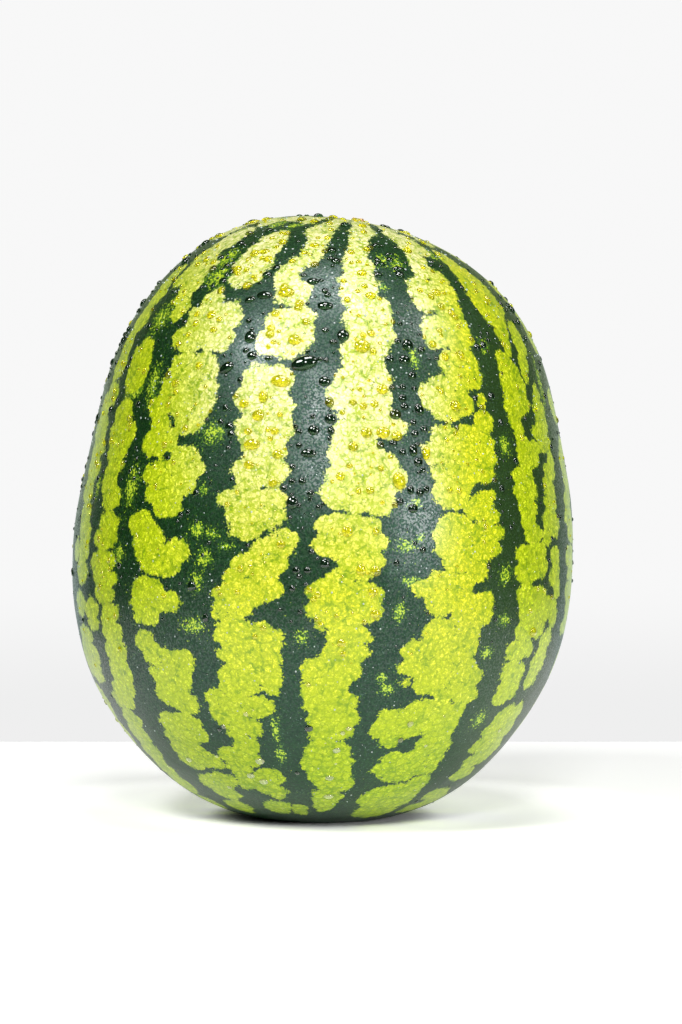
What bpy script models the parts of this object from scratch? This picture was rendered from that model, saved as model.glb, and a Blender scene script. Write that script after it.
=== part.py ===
"""A whole striped watermelon, standing on the flat spot at its blossom end.

The fruit is one solid: an egg-like body drawn round its heart by one formula, with a few broad
bulges and hollows that make it lean as a grown fruit does, a flat spot that it rests on, and the
corky scar on its crown where the stalk was cut. Metres, +Z up, the front towards -Y.
The origin is the middle of the flat spot.
"""

import math

import bmesh
import bpy
from mathutils import Vector

# The fruit's driving sizes.
HALF_WIDTH = 0.1047  # from the heart to the skin at the widest place
HEART_HEIGHT = 0.110  # the widest place, above the flat spot
CROWN_LENGTH = 0.1395  # from the heart to the top
BASE_LENGTH = 0.1130  # from the heart to where the blossom end would be, below the flat spot
CROWN_FULLNESS = 2.3  # 2 is an ellipse, more is squarer in the shoulders
BASE_FULLNESS = 2.25

# Shallow waists that run all the way round: upward angle, height and spread in degrees.
WAISTS = [
    (26, -0.0024, 15),
    (-45, -0.0016, 14),
]

# Broad bulges and hollows: sideways and upward angle of the middle, height and spread.
# Sideways is 0 at the front, 90 to the right, 180 at the back.
SWELLINGS = [
    (90, 48, 0.0022, 28),
    (90, 70, -0.0022, 16),
    (90, 12, 0.0008, 14),
    (90, -38, -0.0010, 18),
    (-90, 36, -0.0030, 28),
    (-90, 78, 0.0018, 16),
    (150, 10, 0.0015, 35),
    (215, -15, -0.0012, 30),
]

# Where the core comes out at the crown, a little right and forward of the top, in degrees.
CROWN_SIDEWAYS = 64
CROWN_UPWARD = 83
CROWN_DIMPLE_DEPTH = 0.0010
CROWN_DIMPLE_SPREAD = 6.0

# The stalk's scar: a low corky button, dished in the middle.
SCAR_RADIUS = 0.0042
SCAR_RIM_RADIUS = 0.0030
SCAR_HEIGHT = 0.0012
SCAR_DISH_DEPTH = 0.0005
SCAR_ROOT = 0.0040  # how far it reaches into the fruit

# How finely the solid is divided.
MERIDIANS = 72
PARALLELS = 44
SCAR_STEPS = 20

RIND_GREEN = (0.33, 0.46, 0.06, 1.0)
RIND_ROUGHNESS = 0.38


def direction(sideways, upward):
    """The unit vector at these angles, in degrees, as seen from the heart."""
    turn = math.radians(sideways)
    rise = math.radians(upward)
    return Vector((math.sin(turn) * math.cos(rise), -math.cos(turn) * math.cos(rise), math.sin(rise)))


HEART = Vector((0, 0, HEART_HEIGHT))
CROWN = direction(CROWN_SIDEWAYS, CROWN_UPWARD)
BULGES = [(direction(sideways, upward), height, spread) for sideways, upward, height, spread in SWELLINGS]
BULGES.append((CROWN, -CROWN_DIMPLE_DEPTH, CROWN_DIMPLE_SPREAD))


def skin_distance(way):
    """How far the skin lies from the heart along a unit vector."""
    length = CROWN_LENGTH if way.z > 0 else BASE_LENGTH
    fullness = CROWN_FULLNESS if way.z > 0 else BASE_FULLNESS
    out = math.hypot(way.x, way.y) / HALF_WIDTH
    along = abs(way.z) / length
    distance = (out**fullness + along**fullness) ** (-1 / fullness)
    rise = math.degrees(math.asin(way.z))
    for upward, height, spread in WAISTS:
        distance += height * math.exp(-(((rise - upward) / spread) ** 2))
    for middle, height, spread in BULGES:
        apart = math.degrees(way.angle(middle)) / spread
        distance += height * math.exp(-apart * apart)
    return distance


def rind_material():
    material = bpy.data.materials.new("rind")
    material.use_nodes = True
    shader = material.node_tree.nodes["Principled BSDF"]
    shader.inputs["Base Color"].default_value = RIND_GREEN
    shader.inputs["Roughness"].default_value = RIND_ROUGHNESS
    shader.inputs["Metallic"].default_value = 0.0
    return material


def make_body(collection):
    """The body: a sphere pushed out to the skin, then cut level for the flat spot."""
    shape = bmesh.new()
    bmesh.ops.create_uvsphere(shape, u_segments=MERIDIANS, v_segments=PARALLELS, radius=1.0)
    to_crown = Vector((0, 0, 1)).rotation_difference(CROWN)
    for vert in shape.verts:
        way = (to_crown @ vert.co).normalized()
        vert.co = HEART + way * skin_distance(way)
    cut = bmesh.ops.bisect_plane(
        shape,
        geom=shape.verts[:] + shape.edges[:] + shape.faces[:],
        plane_co=(0, 0, 0),
        plane_no=(0, 0, -1),
        clear_outer=True,
    )
    rim = [item for item in cut["geom_cut"] if isinstance(item, bmesh.types.BMEdge)]
    bmesh.ops.contextual_create(shape, geom=rim)
    bmesh.ops.recalc_face_normals(shape, faces=shape.faces)
    mesh = bpy.data.meshes.new("watermelon")
    shape.to_mesh(mesh)
    shape.free()
    body = bpy.data.objects.new("watermelon", mesh)
    collection.objects.link(body)
    return body


def make_scar(collection):
    """The stalk's scar as a turned button whose root sits inside the crown."""
    profile = [
        (0.0, SCAR_HEIGHT - SCAR_DISH_DEPTH),
        (SCAR_RIM_RADIUS, SCAR_HEIGHT),
        (SCAR_RADIUS, 0.0),
        (SCAR_RADIUS * 0.8, -SCAR_ROOT),
        (0.0, -SCAR_ROOT),
    ]
    shape = bmesh.new()
    points = [shape.verts.new((radius, 0, height)) for radius, height in profile]
    outline = [shape.edges.new(pair) for pair in zip(points, points[1:])]
    bmesh.ops.spin(
        shape,
        geom=points + outline,
        axis=(0, 0, 1),
        cent=(0, 0, 0),
        steps=SCAR_STEPS,
        angle=math.tau,
        use_duplicate=False,
    )
    bmesh.ops.remove_doubles(shape, verts=shape.verts, dist=0.00001)
    bmesh.ops.recalc_face_normals(shape, faces=shape.faces)
    mesh = bpy.data.meshes.new("stalk_scar")
    shape.to_mesh(mesh)
    shape.free()
    scar = bpy.data.objects.new("stalk_scar", mesh)
    scar.location = HEART + CROWN * skin_distance(CROWN)
    scar.rotation_mode = "QUATERNION"
    scar.rotation_quaternion = Vector((0, 0, 1)).rotation_difference(CROWN)
    collection.objects.link(scar)
    return scar


def main():
    for thing in list(bpy.data.objects):
        bpy.data.objects.remove(thing)
    fruit = bpy.data.collections.new("watermelon")
    tools = bpy.data.collections.new("joined_shapes")
    bpy.context.scene.collection.children.link(fruit)
    bpy.context.scene.collection.children.link(tools)

    body = make_body(fruit)
    scar = make_scar(tools)
    scar.hide_render = True
    scar.display_type = "WIRE"
    join = body.modifiers.new("grown_scar", "BOOLEAN")
    join.operation = "UNION"
    join.solver = "EXACT"
    join.object = scar

    body.data.materials.append(rind_material())
    body.data.shade_smooth()
    body.data.set_sharp_from_angle(angle=math.radians(35))


main()
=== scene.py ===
import math
import bpy
import numpy as np
from mathutils import Matrix, Quaternion, Vector
from mathutils.bvhtree import BVHTree


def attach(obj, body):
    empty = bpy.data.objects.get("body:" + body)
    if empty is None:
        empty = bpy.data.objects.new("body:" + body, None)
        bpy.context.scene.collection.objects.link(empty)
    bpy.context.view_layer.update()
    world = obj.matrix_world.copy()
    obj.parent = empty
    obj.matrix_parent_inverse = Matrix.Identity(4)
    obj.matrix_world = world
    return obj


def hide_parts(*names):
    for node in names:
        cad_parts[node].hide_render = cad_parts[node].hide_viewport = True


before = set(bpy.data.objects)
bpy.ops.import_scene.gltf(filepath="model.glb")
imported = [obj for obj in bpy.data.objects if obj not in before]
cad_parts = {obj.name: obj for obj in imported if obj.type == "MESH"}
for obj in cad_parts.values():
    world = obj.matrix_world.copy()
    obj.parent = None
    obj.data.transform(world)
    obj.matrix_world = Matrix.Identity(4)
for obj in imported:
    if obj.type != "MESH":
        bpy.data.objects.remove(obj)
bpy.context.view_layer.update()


# ---- The rind: its shape ----------------------------------------------------------------------
# The rind is the hard waxy skin of the fruit, one closed skin with no seam. It grew as a fat egg:
# a rounder half above the heart, a shorter one below, shallow waists, and a few broad swellings.

HALF_WIDTH = 0.1047  # from the heart to the skin at the widest place
HEART_HEIGHT = 0.110  # the widest place, above the flat spot
CROWN_LENGTH = 0.1395  # from the heart to the top
BASE_LENGTH = 0.1130  # from the heart to where the blossom end would be, below the flat spot
CROWN_FULLNESS = 2.3  # 2 is an ellipse, more is squarer in the shoulders
BASE_FULLNESS = 2.25
WAISTS = [(26, -0.0024, 15), (-45, -0.0016, 14)]  # upward angle, height, spread in degrees
# Sideways angle (0 is the front, 90 the right), upward angle, height, spread in degrees.
SWELLINGS = [
    (90, 48, 0.0022, 28),
    (90, 70, -0.0022, 16),
    (90, 12, 0.0008, 14),
    (90, -38, -0.0010, 18),
    (-90, 36, -0.0030, 28),
    (-90, 78, 0.0018, 16),
    (150, 10, 0.0015, 35),
    (215, -15, -0.0012, 30),
    (64, 83, -0.0010, 6),  # the dimple round the stalk scar
]
UNEVENNESS = 0.0007  # how far the skin wanders in and out at random
FLAT_ROUNDING = 0.0006  # how soft the edge of the flat spot is
RIND_STEPS = 129  # points along each side of the six squares that make the ball
MM = 0.001


class Wire:
    """One output of a node. Arithmetic on it adds Math nodes to its tree."""

    def __init__(self, tree, socket=None):
        self.tree = tree
        self.socket = socket

    def add(self, kind, settings={}, inputs={}, output=0):
        """Adds a node, with its settings and with values or wires for inputs; gives one of its outputs."""
        node = self.tree.nodes.new(kind)
        for name, value in settings.items():
            setattr(node, name, value)
        for place, value in inputs.items():
            if isinstance(value, Wire):
                self.tree.links.new(value.socket, node.inputs[place])
            else:
                node.inputs[place].default_value = value
        return Wire(self.tree, node.outputs[output])

    def part(self, output):
        """Another output of the same node."""
        return Wire(self.tree, self.socket.node.outputs[output])

    def math(self, operation, *others):
        return self.add("ShaderNodeMath", {"operation": operation}, dict(enumerate((self, *others))))

    def __add__(self, other):
        return self.math("ADD", other)

    def __sub__(self, other):
        return self.math("SUBTRACT", other)

    def __mul__(self, other):
        return self.math("MULTIPLY", other)

    def __truediv__(self, other):
        return self.math("DIVIDE", other)

    def __pow__(self, other):
        return self.math("POWER", other)

    def __radd__(self, other):
        return self + other

    def __rmul__(self, other):
        return self * other

    def __rsub__(self, other):
        return self.add("ShaderNodeMath", {"operation": "SUBTRACT"}, {0: other, 1: self})

    def __rtruediv__(self, other):
        return self.add("ShaderNodeMath", {"operation": "DIVIDE"}, {0: other, 1: self})

    def bell(self):
        """1 where this is 0, falling smoothly to 0 on both sides."""
        return (self * self * -1.0).math("EXPONENT")

    def rise(self, low, high):
        """0 below low, 1 above high, smooth between them."""
        return self.add(
            "ShaderNodeMapRange", {"interpolation_type": "SMOOTHSTEP"}, {0: self, 1: low, 2: high}
        )

    def vector(self, operation, other=None, scale=None, output=0):
        """A Vector Math node on this vector."""
        inputs = {0: self}
        if other is not None:
            inputs[1] = other
        if scale is not None:
            inputs["Scale"] = scale
        return self.add("ShaderNodeVectorMath", {"operation": operation}, inputs, output)

    def noise(self, size, detail=2.0, output=0):
        """Soft noise whose blotches are about size across."""
        inputs = {"Vector": self, "Scale": 1.0 / size, "Detail": detail}
        return self.add("ShaderNodeTexNoise", {}, inputs, output)

    def grains(self, size):
        """How far each point is from the middle of its grain: 0 in the middle, about 0.8 between grains."""
        return self.add("ShaderNodeTexVoronoi", {}, {"Vector": self, "Scale": 1.0 / size})

    def veins(self, size, low, high):
        """1 on thin lines between cells of this size, 0 inside the cells."""
        cells = {"feature": "DISTANCE_TO_EDGE"}
        apart = self.add("ShaderNodeTexVoronoi", cells, {"Vector": self, "Scale": 1.0 / size})
        return 1 - apart.rise(low, high)

    def split(self):
        """This vector's X. Its Y and Z are parts of the same node."""
        return self.add("ShaderNodeSeparateXYZ", inputs={0: self})

    def join(self, x, y, z):
        return self.add("ShaderNodeCombineXYZ", inputs={"X": x, "Y": y, "Z": z})

    def colour(self, value):
        """The same colour everywhere, to mix others over."""
        plain = self.add("ShaderNodeRGB")
        plain.socket.default_value = value
        return plain

    def mix(self, other, mask):
        """This colour where mask is 0, the other where it is 1."""
        return self.add("ShaderNodeMix", {"data_type": "RGBA"}, {0: mask, 6: self, 7: other}, 2)


def direction(sideways, upward):
    """The way that points at these angles from the heart, 0 sideways being the front."""
    turn = math.radians(sideways)
    rise = math.radians(upward)
    return Vector((math.sin(turn) * math.cos(rise), -math.cos(turn) * math.cos(rise), math.sin(rise)))


def new_group(name, numbers):
    """A Geometry Nodes tree: a mesh and named numbers in, a mesh out. Gives the tree and its inputs."""
    tree = bpy.data.node_groups.new(name, "GeometryNodeTree")
    tree.interface.new_socket("Geometry", in_out="INPUT", socket_type="NodeSocketGeometry")
    tree.interface.new_socket("Geometry", in_out="OUTPUT", socket_type="NodeSocketGeometry")
    for title, value in numbers.items():
        kind = "NodeSocketInt" if isinstance(value, int) else "NodeSocketFloat"
        tree.interface.new_socket(title, in_out="INPUT", socket_type=kind)
    inputs = Wire(tree).add("NodeGroupInput", output=0)
    return tree, inputs


def finish_group(geometry, material):
    """Ends a tree: copies made real, the material set, and the result put out."""
    real = geometry.add("GeometryNodeRealizeInstances", {}, {0: geometry})
    done = real.add("GeometryNodeSetMaterial", {}, {"Geometry": real, "Material": material})
    end = done.tree.nodes.new("NodeGroupOutput")
    done.tree.links.new(done.socket, end.inputs[0])


def grow(name, tree, numbers, start=None):
    """Runs a tree on a mesh and gives the result as a plain mesh object with no modifier."""
    seed = bpy.data.objects.new(name + "_seed", start or bpy.data.meshes.new(name + "_seed"))
    bpy.context.collection.objects.link(seed)
    modifier = seed.modifiers.new("grow", "NODES")
    modifier.node_group = tree
    for item in tree.interface.items_tree:
        if item.in_out == "INPUT" and item.name in numbers:
            modifier[item.identifier] = numbers[item.name]
    grown = seed.evaluated_get(bpy.context.evaluated_depsgraph_get())
    mesh = bpy.data.meshes.new_from_object(grown)
    mesh.name = name
    bpy.data.objects.remove(seed)
    piece = bpy.data.objects.new(name, mesh)
    bpy.context.collection.objects.link(piece)
    mesh.shade_smooth()
    return piece


rind_material = bpy.data.materials.new("rind")

RIND_NUMBERS = {
    "Half width": HALF_WIDTH,
    "Heart height": HEART_HEIGHT,
    "Crown length": CROWN_LENGTH,
    "Base length": BASE_LENGTH,
    "Crown fullness": CROWN_FULLNESS,
    "Base fullness": BASE_FULLNESS,
    "Steps": RIND_STEPS,
}


def rind_tree():
    """A ball of six squares whose points move out from the heart to the skin."""
    tree, inputs = new_group("rind_shape", RIND_NUMBERS)
    steps = inputs.part("Steps")
    cube = inputs.add(
        "GeometryNodeMeshCube",
        inputs={"Size": (2, 2, 2), "Vertices X": steps, "Vertices Y": steps, "Vertices Z": steps},
    )
    spread = inputs.add("GeometryNodeInputPosition").vector("SCALE", scale=math.pi / 4).vector("TANGENT")
    way = spread.vector("NORMALIZE")
    x = way.split()
    y, z = x.part("Y"), x.part("Z")
    upper = z.math("GREATER_THAN", 0.0)
    base_length, base_fullness = inputs.part("Base length"), inputs.part("Base fullness")
    length = base_length + (inputs.part("Crown length") - base_length) * upper
    fullness = base_fullness + (inputs.part("Crown fullness") - base_fullness) * upper
    out = (x * x + y * y) ** 0.5 / inputs.part("Half width")
    along = z.math("ABSOLUTE") / length
    distance = (out**fullness + along**fullness) ** (-1.0 / fullness)
    rise = z.math("ARCSINE").math("DEGREES")
    for upward, height, spread in WAISTS:
        distance = distance + ((rise - upward) / spread).bell() * height
    for sideways, upward, height, spread in SWELLINGS:
        middle = direction(sideways, upward)
        apart = way.vector("DOT_PRODUCT", middle, output="Value").math("ARCCOSINE").math("DEGREES")
        distance = distance + (apart / spread).bell() * height
    distance = distance + (way.noise(0.22) - 0.5) * UNEVENNESS
    x = way.vector("SCALE", scale=distance).split()
    high = x.part("Z") + inputs.part("Heart height")
    place = x.join(x, x.part("Y"), high.math("SMOOTH_MAX", 0.0, FLAT_ROUNDING))
    moved = cube.add("GeometryNodeSetPosition", inputs={"Geometry": cube, "Position": place})
    finish_group(moved, rind_material)
    return tree


rind = grow("rind", rind_tree(), RIND_NUMBERS)

# ---- The rind: where its pale patches are -----------------------------------------------------
# Pale bands run from the stalk scar down to the blossom end, broken into lobed patches by narrow
# dark cracks, with dark green stripes between the bands and faint speckled ghosts in the stripes.

# The core is the straight line from the blossom end to the stalk scar; stripes meet on it.
CROWN = Vector((0.015167, -0.007397, 0.247434))
# Each patch is a list of lobes: sideways and upward angle of the middle, half width, half height.
PATCHES = [
    # the front band
    [(2, 86, 30, 4), (2.5, 79, 8, 4.5), (2.5, 74.5, 8, 3.5), (0.3, 69, 5.3, 4), (-0.8, 65, 4.0, 3.5),
     (0.5, 61.5, 5.4, 3.5), (1.4, 57, 6.3, 3.5), (0.8, 54, 5.0, 2.6)],
    [(6.6, 52.2, 4.8, 2.7), (4.4, 50, 7.2, 3.0), (4.8, 47, 6.8, 4.2), (3.6, 43.6, 6.2, 3),
     (3.2, 40.5, 5.8, 3), (3.4, 37.6, 7.3, 3.4), (3, 34, 8.0, 3.4), (4.6, 30.5, 6.6, 3),
     (9.8, 28.1, 4.4, 2.5), (2, 26.5, 5, 4), (2.4, 22, 6.4, 3.6), (7, 20, 6, 2.6), (2.2, 18, 6.8, 3.2),
     (9.2, 17, 5.2, 3.4), (3.2, 13.6, 8.4, 4), (8, 11.8, 3.6, 2.8)],
    [(0.6, 6.8, 5.8, 2.6), (4.6, 5.8, 4.2, 2.6), (2.3, 2.8, 8.0, 3.8), (5, -1.2, 5, 2.8),
     (3.6, -3.4, 4.6, 1.6)],
    [(-1, -7.4, 5.2, 3.2), (4.6, -8.6, 5.4, 3.2), (1.6, -11, 8, 3.6), (7, -11.6, 3.1, 2.8),
     (0.5, -13.2, 5, 2.4)],
    [(3, -17.2, 4.9, 2.8), (2.8, -20.6, 4.8, 3.2), (-0.2, -24.2, 6.6, 3.6), (-1.4, -28, 5.4, 3.4),
     (0, -31.4, 6.2, 3.2), (1, -35.4, 6.1, 3.8), (0.9, -38.6, 5.9, 2.2)],
    [(-0.2, -43.4, 6.4, 2.8), (0.4, -46.4, 7.6, 3.6), (1.6, -50, 6.8, 3.2), (3.4, -53.4, 6.2, 2.8),
     (0.8, -57.6, 5.2, 3.4), (0.4, -61, 4, 3)],
    # the first band to the left
    [(-16, 85, 14, 3.5), (-18, 79.5, 7, 4), (-18.5, 75, 6, 3.2), (-20.6, 71.6, 6.8, 2.8),
     (-18.2, 67.6, 4.6, 3.8), (-17.6, 63.4, 4.4, 3.4), (-20.4, 60.4, 3.6, 2), (-22.6, 57.4, 3.9, 3),
     (-18.6, 53.8, 5.2, 3.3)],
    [(-15.4, 48.2, 4.6, 2.6), (-18.6, 46.8, 5.4, 3.6), (-13.8, 45, 3.2, 2.8), (-21.4, 43.6, 3.8, 3),
     (-16.6, 43, 4.8, 2.8)],
    [(-21.6, 36.4, 4.2, 2.4), (-24, 33, 3, 3.2), (-17.6, 35.4, 4, 3.6), (-19.4, 31.6, 6.6, 4),
     (-19, 26.6, 6.7, 4), (-18.4, 22.4, 5.2, 3.2), (-22.8, 18.2, 2.4, 1.9), (-17.4, 18.2, 5, 3.6),
     (-20.4, 15.6, 3.6, 2), (-24.8, 12.2, 3, 1.7), (-19, 11.4, 7, 3), (-18.6, 8.2, 6.4, 2.8),
     (-20.4, 5.4, 3.8, 2)],
    [(-12.2, 2.6, 3, 2.9), (-15.6, 1.2, 3.2, 2.8), (-17, -1.4, 6.2, 2.8), (-18.8, -4.6, 6, 3.2),
     (-20.2, -7.8, 6.9, 2.6), (-15, -7, 3, 2.8), (-22.6, -11, 4.2, 3)],
    [(-22.2, -16, 4.6, 3), (-15.6, -17.6, 4.4, 3.4), (-19, -20.6, 6.9, 3), (-17, -22.4, 5.4, 2.6),
     (-21.6, -24.6, 4.4, 2.8), (-14, -26, 2.6, 3.2), (-23, -27.6, 3.4, 2.2), (-19.4, -27.4, 3.2, 2.2)],
    [(-27.4, -30.8, 2.9, 3), (-22.6, -31, 3.6, 2.6), (-17.6, -31.8, 4.2, 2.4), (-24.6, -34.6, 5.2, 2.9),
     (-20.8, -37, 3.9, 2.4), (-24, -38.6, 2.8, 2)],
    [(-22.6, -42, 3.8, 3), (-27.6, -45, 4.6, 2.6), (-23, -45.6, 3.8, 2.6), (-26.6, -48.2, 4.2, 2)],
    [(-18.4, -51.2, 5, 2.8), (-25.4, -52.6, 4.8, 2.6), (-17, -55.6, 3.2, 3), (-21, -54.6, 4, 2)],
    [(-20, -62.4, 6.2, 3.2)],
    [(-10.6, -63.6, 3.6, 2.6)],
    # the second band to the left
    [(-36, 85, 10, 3), (-36.5, 79, 7, 4), (-36, 75.8, 5, 2)],
    [(-37.6, 66.6, 6.2, 3), (-37.2, 63.6, 7, 2.8), (-36.8, 59.8, 7.3, 3.2), (-35.8, 56.4, 5.2, 2.7)],
    [(-42.3, 50.4, 3.4, 2.4), (-42, 46.8, 5.8, 3.2), (-35.6, 47.2, 4.4, 3.2), (-45.6, 43, 4.4, 2.4),
     (-36.4, 43.6, 5.4, 2.8), (-41, 43.6, 4, 2.6)],
    [(-42.6, 37.4, 4.6, 3), (-37.4, 37.4, 4.2, 3.2), (-41, 34, 7, 3.4), (-35.4, 34, 3, 2.2),
     (-35.4, 30.8, 3, 2.6), (-42.6, 31, 5.6, 2.4), (-47.6, 30.4, 3.2, 2.2), (-37.8, 28, 4, 3.2)],
    [(-46, 26.6, 3, 2.6), (-46.2, 23.2, 4.2, 2.8), (-42.6, 23.8, 2.6, 2.4)],
    [(-37.2, 20.6, 3.6, 2.3), (-36.2, 18, 4.3, 2.8), (-43.4, 16.8, 5.6, 2.6), (-38, 15, 4.6, 2.8),
     (-41.4, 13.2, 5, 2.6), (-39.8, 10.4, 3.8, 2.8)],
    [(-46.6, 6.4, 3.7, 2.8), (-44.4, 3.2, 4.6, 2.8), (-42.8, 0.4, 4.8, 2.8), (-36.6, 0.8, 4, 2.4),
     (-40.2, -1.8, 5.4, 2.6)],
    [(-43.8, -7, 4.8, 2.6), (-38.8, -9.4, 3.8, 2.2), (-44.2, -10.4, 4.6, 2.6), (-44.6, -13, 3.6, 1.8)],
    [(-45.4, -18, 2.7, 2.8), (-41.6, -21, 4.4, 2.2), (-36.6, -22.2, 4.6, 2.6), (-40.2, -25, 4.8, 3.2),
     (-37, -26.6, 3.4, 2.8), (-39.8, -29.2, 4.8, 3), (-36.4, -31.6, 4, 2.4)],
    [(-44, -36.6, 4.4, 2.7), (-38.6, -36.8, 4.2, 2.8), (-41.4, -39.6, 7.8, 2.4)],
    [(-43, -43.4, 6.2, 2.4), (-36.6, -46.4, 4.6, 2.6), (-44, -46.8, 5, 2.6), (-39.4, -45, 4.6, 2.4)],
    [(-35.6, -52.6, 5.4, 2.4), (-41.4, -54, 6.4, 3), (-40, -57.2, 6.4, 2.6)],
    [(-41, -63.6, 6.4, 3.2)],
    # the third band to the left
    [(-52, 77, 10, 2.8), (-60, 73.6, 6, 3)],
    [(-61.6, 67.4, 6.2, 2.6), (-60.4, 64.4, 6.4, 2.6), (-61.4, 60.4, 6, 2.8), (-57.4, 57.4, 6, 3.2),
     (-62, 55.4, 4.4, 2.6), (-55.6, 53.8, 4.6, 2.8)],
    [(-52.8, 48.9, 2.8, 3), (-55.4, 50.6, 2.8, 1.8)],
    [(-60, 39.4, 4.6, 3), (-59.8, 36, 4.6, 3.2)],
    [(-60.8, 28.6, 4.3, 2.9), (-58.6, 24.8, 4.3, 3), (-61.8, 24.6, 3.6, 3), (-59.8, 21.4, 4.2, 2.4),
     (-59.4, 18, 3.6, 2.4), (-60.2, 14.8, 3.3, 2.6), (-58.4, 12, 3.6, 2.8)],
    [(-58, 6.6, 3.8, 2.6), (-59.2, 3.2, 4.9, 2.2)],
    [(-59.6, -1.6, 5.7, 2.4), (-58.6, -5, 4.6, 2.6), (-59, -8.2, 4.4, 2.2)],
    [(-57, -12.4, 3.6, 2.4), (-57.2, -16.4, 3.8, 2.6), (-56.6, -20.4, 4.4, 2.8), (-56.8, -25, 4.8, 3),
     (-58, -28.8, 5, 2.8), (-60.6, -31.6, 5.2, 2.4)],
    [(-61.6, -36.6, 4.6, 2.6), (-63.6, -40.6, 5.6, 3), (-64.4, -45.6, 6, 3.6), (-65.4, -51, 6, 3.6),
     (-66, -56.6, 8, 3.4)],
    [(-63, -63.6, 8, 3.2)],
    # the fourth band to the left
    [(-74, 74, 10, 3), (-78, 68, 8, 3)],
    [(-71.4, 55, 3.8, 3), (-70.2, 51.4, 3.9, 3), (-70.6, 46.6, 4.2, 3.2), (-71.6, 42, 3.4, 3),
     (-71, 38, 3.6, 2.8)],
    [(-70.6, 32.6, 3.8, 2.4), (-73.6, 30.4, 3.8, 2.4), (-73.4, 26, 5.2, 2.8), (-72.2, 22, 5, 2.8),
     (-72, 17.8, 4.6, 2.8), (-72.2, 13.4, 3.8, 2.8)],
    [(-71, 8.4, 3.6, 2.6), (-69.8, 4.4, 3.6, 2.8), (-70.4, 0.6, 3.6, 2.6), (-71, -3.6, 3.8, 2.8)],
    [(-75.8, 0.6, 2.3, 2.6)],
    [(-73, -10.6, 4.4, 2.6), (-66, -11.6, 4, 2.2), (-65.4, -14.4, 2.8, 2)],
    [(-72.6, -17.6, 5, 2.4), (-71.2, -21.6, 5.4, 2.8), (-71.6, -25.6, 4.6, 2.6), (-77, -23, 4, 4)],
    [(-79, -33, 5.6, 4.4), (-80, -41, 5.4, 4), (-84, -50, 8, 5)],
    # the first band to the right
    [(27, 84.5, 16, 3), (25.5, 79, 8, 3.2), (24.4, 74.8, 6.2, 2.8), (30.6, 73.6, 8.4, 2.6),
     (35.6, 70.6, 4.4, 2.8), (26.4, 70.6, 5.2, 2.6), (27.6, 66.8, 4.6, 2.8), (27.6, 63.4, 4.9, 2.2),
     (34, 61.4, 4, 2.6), (33.6, 58.4, 4.6, 2.8), (23.8, 57.8, 5.6, 3.4), (29.2, 57.4, 5.4, 3.4),
     (23.6, 54.8, 4.4, 2), (32.6, 54.2, 4.9, 2.8)],
    [(31.4, 50.8, 6.2, 2.4), (25.6, 49.2, 5.2, 2.4), (32.6, 47.6, 5, 3), (24.8, 47, 4.2, 1.8),
     (28.4, 48, 4, 2.4)],
    [(33, 42.8, 5.2, 2.8), (28.6, 42, 4.2, 2.8), (34.6, 40, 3.4, 2.8), (30, 39.4, 4, 2.6),
     (25, 38, 4.8, 1.9), (22.4, 35.4, 4.4, 3.2), (30.4, 34.2, 3.8, 2.8), (26, 33.4, 5.2, 3.4)],
    [(37.3, 34.9, 1.3, 1.3)],
    [(37.4, 30.4, 3.2, 2.4), (24.6, 26.8, 4, 2.5), (31.8, 27.2, 4.2, 2.4), (35.4, 25.6, 4.4, 2.6),
     (22.2, 23.2, 3.4, 2.8), (28.4, 24, 5.4, 3.2), (36.6, 21.8, 3.8, 2.6), (35, 18.8, 4.4, 2.4),
     (29.6, 20.4, 4.8, 2.6), (24.8, 18.6, 4.4, 2.4), (28.4, 16.6, 4, 2.6), (24.6, 14.4, 4.2, 2.8),
     (27, 13, 4.2, 2.8)],
    [(35.4, 12.8, 3.2, 2.3), (33, 10.6, 4.2, 3), (36, 8.8, 3.4, 3)],
    [(27, 7.2, 4.4, 2.5), (24.6, 4.8, 3.5, 2.8), (35, 4.8, 5.6, 2.8), (29.6, 4.6, 4.8, 3),
     (27, 1.6, 5.2, 2.8), (34.6, 1.6, 5.4, 2.6), (29, -1.6, 5.4, 2.6), (33, -3.4, 3, 2.4)],
    [(20.6, -6.8, 4.1, 2.3), (25, -6.4, 5.4, 3), (29.4, -6.2, 3.2, 2.8), (24.4, -10.4, 4.4, 2.6),
     (29.4, -10.2, 3.8, 3), (35.2, -10.4, 3.3, 2.5), (35, -13.6, 3.6, 2.4), (29.8, -13.6, 3.4, 2.4)],
    [(24, -16.2, 4.2, 2.3), (31.6, -16.8, 4, 2.4), (18.8, -20.6, 3.6, 2.2), (24.2, -19.8, 4.6, 2.8),
     (30.4, -20.6, 4.8, 3.2), (19.4, -23.6, 4.2, 1.9), (24.2, -24.8, 4.6, 3.4), (31.2, -25.2, 5, 3.2),
     (22.4, -27.6, 3.2, 2.2), (34.6, -27.4, 4.2, 2.6), (29.4, -29, 5, 2.8), (34.4, -30.6, 4, 2.4)],
    [(17.2, -27.2, 1.7, 0.8)],
    [(16.4, -35, 4.4, 2.2), (23.6, -33.6, 3.8, 2.6), (28.8, -33.2, 3.8, 2.4), (33, -34.6, 3.4, 2.6),
     (16, -38, 5.2, 2.6), (22.4, -37.2, 4.8, 3.2), (28.8, -37.4, 4.6, 3.4), (32.8, -38.4, 3.9, 2.8),
     (16.6, -41, 3.2, 2.4), (30.6, -42, 5.2, 3.2), (34.2, -44, 3.2, 3)],
    [(20.2, -46.6, 4.2, 2.4), (18.6, -48.8, 4, 2.4), (26.6, -46.6, 4.6, 2.8), (32.6, -48.4, 5, 3),
     (24.4, -50.4, 6, 2.6)],
    [(22.2, -57, 5.4, 2.4), (18.2, -59, 4.8, 2.4), (28.4, -56.4, 5, 2.4), (34, -54.6, 4.6, 3),
     (25, -60.4, 9, 3), (33.6, -60, 6, 3.6), (26, -65.4, 11, 3.6)],
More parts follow.
